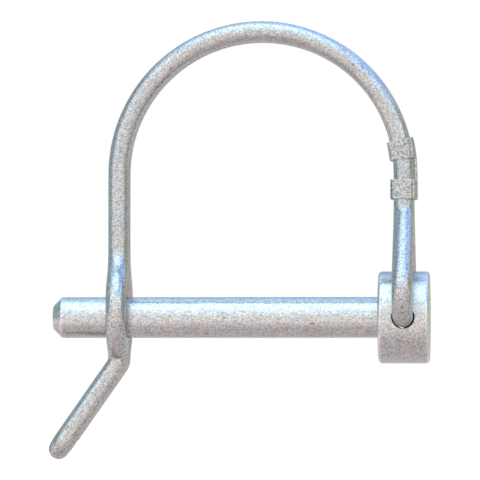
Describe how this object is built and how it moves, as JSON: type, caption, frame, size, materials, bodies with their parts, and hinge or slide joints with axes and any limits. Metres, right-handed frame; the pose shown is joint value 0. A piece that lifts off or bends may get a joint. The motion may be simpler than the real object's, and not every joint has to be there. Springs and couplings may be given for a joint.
{
  "type": "round wire lock pin",
  "caption": "Straight steel pin with a collar head and a hinged double-wire spring bail that arches over and snaps round the shank near its tip.",
  "frame": {"origin": "on the shank's axis, in the plane of the head's shoulder", "axes": "-X along the shank from the head to its tip, +Z towards the top of the bail's arch, Y across the wires and along the bail's hinge axis"},
  "size_m": [0.0595, 0.026, 0.0683],
  "materials": {
    "shank_zinc": "zinc-plated steel, fine satin grain",
    "collar_zinc": "zinc-plated turned steel, fine satin grain",
    "wire_zinc": "zinc-plated spring wire, fine satin grain",
    "clip_zinc": "zinc-plated sheet steel, matt and slightly mottled"
  },
  "bodies": {
    "pin": {"shank": "shank_zinc", "head_collar": "collar_zinc"},
    "bail": {"bail_wire": "wire_zinc", "bail_snap_end": "wire_zinc", "clip": "clip_zinc"}
  },
  "joints": [
    {"name": "bail_hinge", "type": "hinge", "parent": "pin", "child": "bail", "pos_m": [0.00397, 0, 0], "axis": [0, 1, 0], "range_deg": [0, 240], "deforming": ["bail_snap_end"]}
  ]
}
